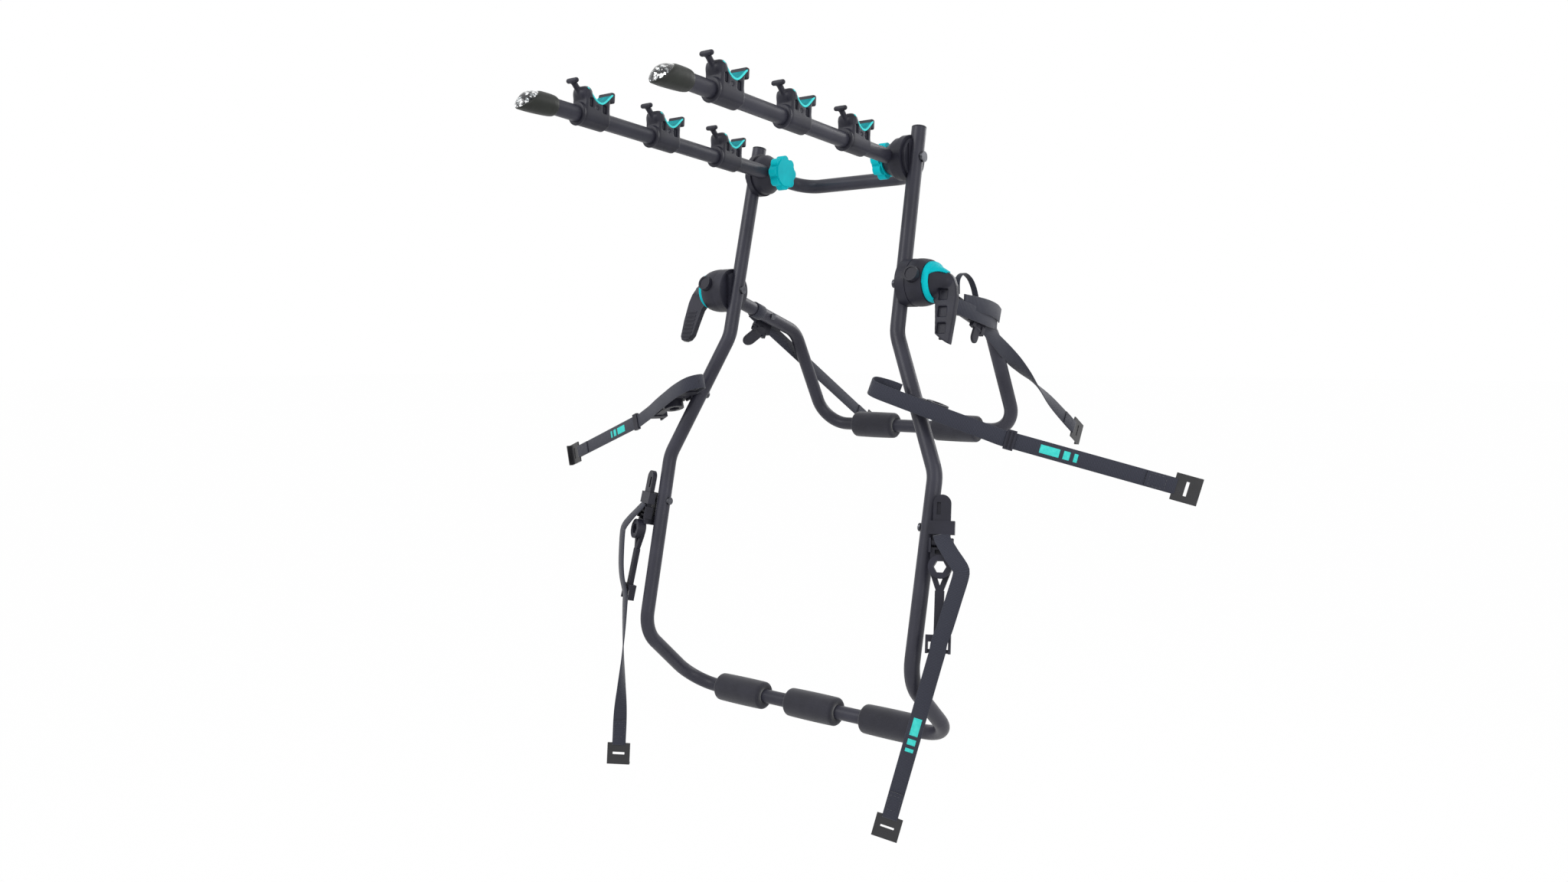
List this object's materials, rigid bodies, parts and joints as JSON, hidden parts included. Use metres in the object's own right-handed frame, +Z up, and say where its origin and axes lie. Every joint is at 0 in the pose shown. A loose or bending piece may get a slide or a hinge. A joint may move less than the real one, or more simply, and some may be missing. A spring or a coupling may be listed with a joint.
{
  "type": "trunk mounted bike rack",
  "caption": "Trunk mounted bike rack: leaning steel U-frame with foam bumper rollers, folding support frame, two padded carrying arms, hubs with clamp levers and webbing straps with hooks.",
  "frame": {"origin": "middle of the bottom cross tube, which rests on the bumper", "axes": "X across the car, +Y toward the car, +Z up"},
  "size_m": [1.3185, 1.1035, 1.1764],
  "materials": {
    "frame_paint": "satin black powder coat",
    "foam": "closed-cell foam, matt",
    "teal_plastic": "moulded, satin",
    "teal_rubber": "soft moulded rubber",
    "zinc_steel": "zinc plated",
    "coated_steel": "dip-coated black",
    "webbing": "woven polyester webbing",
    "reflector": "faceted clear reflector",
    "cap_plastic": "moulded, fine grain",
    "black_plastic": "glass-filled nylon, fine grain"
  },
  "bodies": {
    "frame": {"main_frame": "frame_paint", "frame_plugs": "black_plastic", "roller_left": "foam", "roller_mid": "foam", "roller_right": "foam", "top_hub_left": "black_plastic", "top_hub_right": "black_plastic", "pivot_bolts": "zinc_steel", "mid_hub_left": "black_plastic", "mid_hub_right": "black_plastic", "mid_bolts": "zinc_steel", "strap_side_left": "webbing", "strap_side_right": "webbing", "strap_lower_left": "webbing", "strap_lower_right": "webbing", "hooks": "coated_steel", "side_buckles": "black_plastic", "tensioner_left": "black_plastic", "tensioner_right": "black_plastic", "tension_bolts": "zinc_steel"},
    "arms": {"arm_tube": "frame_paint", "arm_hub_left": "black_plastic", "arm_hub_right": "black_plastic", "end_cap_left": "cap_plastic", "end_cap_right": "cap_plastic", "reflector_left": "reflector", "reflector_right": "reflector", "cradle_left_1": "black_plastic", "cradle_left_2": "black_plastic", "cradle_left_3": "black_plastic", "cradle_right_1": "black_plastic", "cradle_right_2": "black_plastic", "cradle_right_3": "black_plastic", "saddles_left": "teal_rubber", "saddles_right": "teal_rubber", "cradle_screws": "zinc_steel"},
    "support": {"support_frame": "frame_paint", "sleeve_left": "foam", "sleeve_right": "foam", "swing_hub_left": "black_plastic", "swing_hub_right": "black_plastic", "lock_ring_left": "teal_plastic", "lock_ring_right": "teal_plastic", "support_rivets": "coated_steel", "strap_upper_left": "webbing", "strap_upper_right": "webbing", "upper_hooks": "coated_steel", "cam_buckles": "black_plastic"},
    "knob_left": {"knob_left": "teal_plastic"},
    "knob_right": {"knob_right": "teal_plastic"},
    "lever_left": {"lever_left": "black_plastic"},
    "lever_right": {"lever_right": "black_plastic"},
    "button_left": {"button_left": "black_plastic"},
    "button_right": {"button_right": "black_plastic"},
    "cam_tab_left": {"cam_tab_left": "black_plastic"},
    "cam_tab_right": {"cam_tab_right": "black_plastic"},
    "tension_handle_left": {"tension_handle_left": "black_plastic"},
    "tension_handle_right": {"tension_handle_right": "black_plastic"},
    "side_handle_left": {"side_handle_left": "black_plastic"},
    "side_handle_right": {"side_handle_right": "black_plastic"}
  },
  "joints": [
    {"name": "arm_fold", "type": "hinge", "parent": "frame", "child": "arms", "pos_m": [0, 0.05021, 0.9503], "axis": [1, 0, 0], "range_deg": [-20, 90]},
    {"name": "support_swing", "type": "hinge", "parent": "frame", "child": "support", "pos_m": [0, 0.00367, 0.74039], "axis": [1, 0, 0], "range_deg": [-45, 60]},
    {"name": "knob_left_turn", "type": "hinge", "parent": "frame", "child": "knob_left", "pos_m": [-0.17314, 0.05021, 0.9503], "axis": [1, 0, 0], "continuous": true},
    {"name": "knob_right_turn", "type": "hinge", "parent": "frame", "child": "knob_right", "pos_m": [0.17314, 0.05021, 0.9503], "axis": [1, 0, 0], "continuous": true},
    {"name": "lever_left_turn", "type": "hinge", "parent": "frame", "child": "lever_left", "pos_m": [-0.17806, 0.00367, 0.74039], "axis": [1, 0, 0], "range_deg": [-90, 90]},
    {"name": "lever_right_turn", "type": "hinge", "parent": "frame", "child": "lever_right", "pos_m": [0.17806, 0.00367, 0.74039], "axis": [1, 0, 0], "range_deg": [-90, 90]},
    {"name": "button_left_press", "type": "slide", "parent": "support", "child": "button_left", "axis": [0, 0.9563, -0.2924], "range_m": [0, 0.004]},
    {"name": "button_right_press", "type": "slide", "parent": "support", "child": "button_right", "axis": [0, 0.9563, -0.2924], "range_m": [0, 0.004]},
    {"name": "cam_tab_left_open", "type": "hinge", "parent": "support", "child": "cam_tab_left", "pos_m": [-0.24031, 0.14142, 0.66759], "axis": [-0.0216, 0.8779, -0.4783], "range_deg": [0, 60]},
    {"name": "cam_tab_right_open", "type": "hinge", "parent": "support", "child": "cam_tab_right", "pos_m": [0.24031, 0.14142, 0.66759], "axis": [-0.0216, -0.8779, 0.4783], "range_deg": [0, 60]},
    {"name": "tension_left_open", "type": "hinge", "parent": "frame", "child": "tension_handle_left", "pos_m": [-0.31579, -0.09679, 0.33644], "axis": [0.9063, -0.4226, 0], "range_deg": [0, 80]},
    {"name": "tension_right_open", "type": "hinge", "parent": "frame", "child": "tension_handle_right", "pos_m": [0.31579, -0.09679, 0.33644], "axis": [0.9063, 0.4226, 0], "range_deg": [0, 80]},
    {"name": "side_left_open", "type": "hinge", "parent": "frame", "child": "side_handle_left", "pos_m": [-0.24816, -0.0713, 0.55043], "axis": [0.3604, 0.9328, 0], "range_deg": [0, 60]},
    {"name": "side_right_open", "type": "hinge", "parent": "frame", "child": "side_handle_right", "pos_m": [0.2469, -0.07179, 0.54666], "axis": [-0.3604, 0.9328, 0], "range_deg": [0, 60]}
  ]
}
